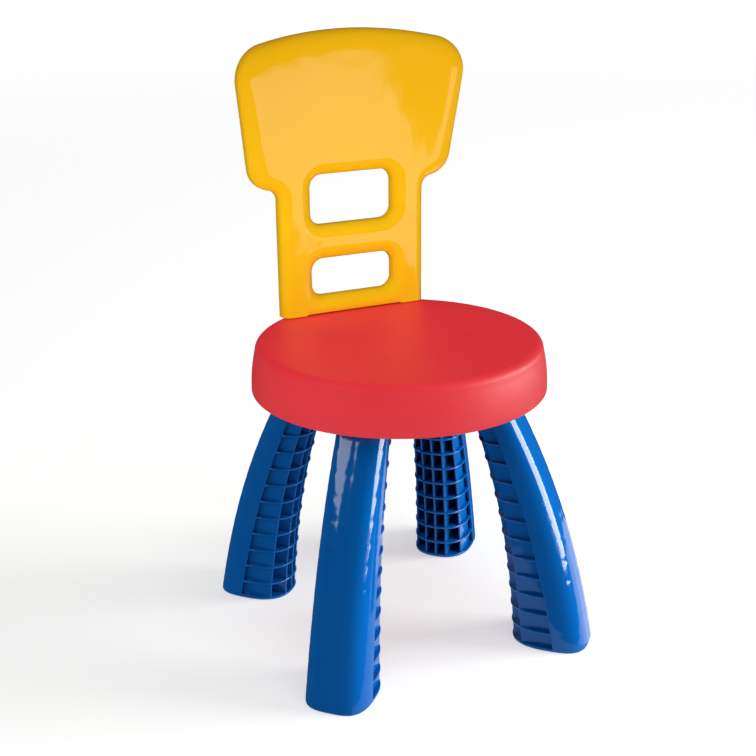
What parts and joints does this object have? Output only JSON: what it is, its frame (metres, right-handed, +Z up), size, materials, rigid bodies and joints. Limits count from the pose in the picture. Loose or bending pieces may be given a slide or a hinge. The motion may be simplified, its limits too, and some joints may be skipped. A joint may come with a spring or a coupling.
{
  "type": "children's chair",
  "caption": "Child's plastic chair with a round seat shell, a backrest with two windows that drops into the seat, and arched ribbed legs that plug in under it.",
  "frame": {"origin": "on the floor, under the centre of the round seat", "axes": "+Z up, -Y towards the front where the sitter's legs go, +X to the side"},
  "size_m": [0.2986, 0.2986, 0.5645],
  "materials": {
    "red_plastic": "satin moulded",
    "yellow_plastic": "semi-gloss moulded",
    "blue_plastic": "glossy moulded",
    "steel": "zinc plated"
  },
  "bodies": {
    "seat": {"seat": "red_plastic", "left_backrest_screw": "steel", "right_backrest_screw": "steel"},
    "backrest": {"backrest": "yellow_plastic"},
    "front_left_leg": {"front_left_leg": "blue_plastic", "front_left_leg_screw": "steel"},
    "front_right_leg": {"front_right_leg": "blue_plastic", "front_right_leg_screw": "steel"},
    "rear_left_leg": {"rear_left_leg": "blue_plastic", "rear_left_leg_screw": "steel"},
    "rear_right_leg": {"rear_right_leg": "blue_plastic", "rear_right_leg_screw": "steel"}
  },
  "joints": [
    {"name": "backrest_lift", "type": "slide", "parent": "seat", "child": "backrest", "axis": [0, 0, 1], "range_m": [0, 0.04]},
    {"name": "front_left_leg_pull", "type": "slide", "parent": "seat", "child": "front_left_leg", "axis": [0, 0, -1], "range_m": [0, 0.04]},
    {"name": "front_right_leg_pull", "type": "slide", "parent": "seat", "child": "front_right_leg", "axis": [0, 0, -1], "range_m": [0, 0.04]},
    {"name": "rear_left_leg_pull", "type": "slide", "parent": "seat", "child": "rear_left_leg", "axis": [0, 0, -1], "range_m": [0, 0.04]},
    {"name": "rear_right_leg_pull", "type": "slide", "parent": "seat", "child": "rear_right_leg", "axis": [0, 0, -1], "range_m": [0, 0.04]}
  ]
}
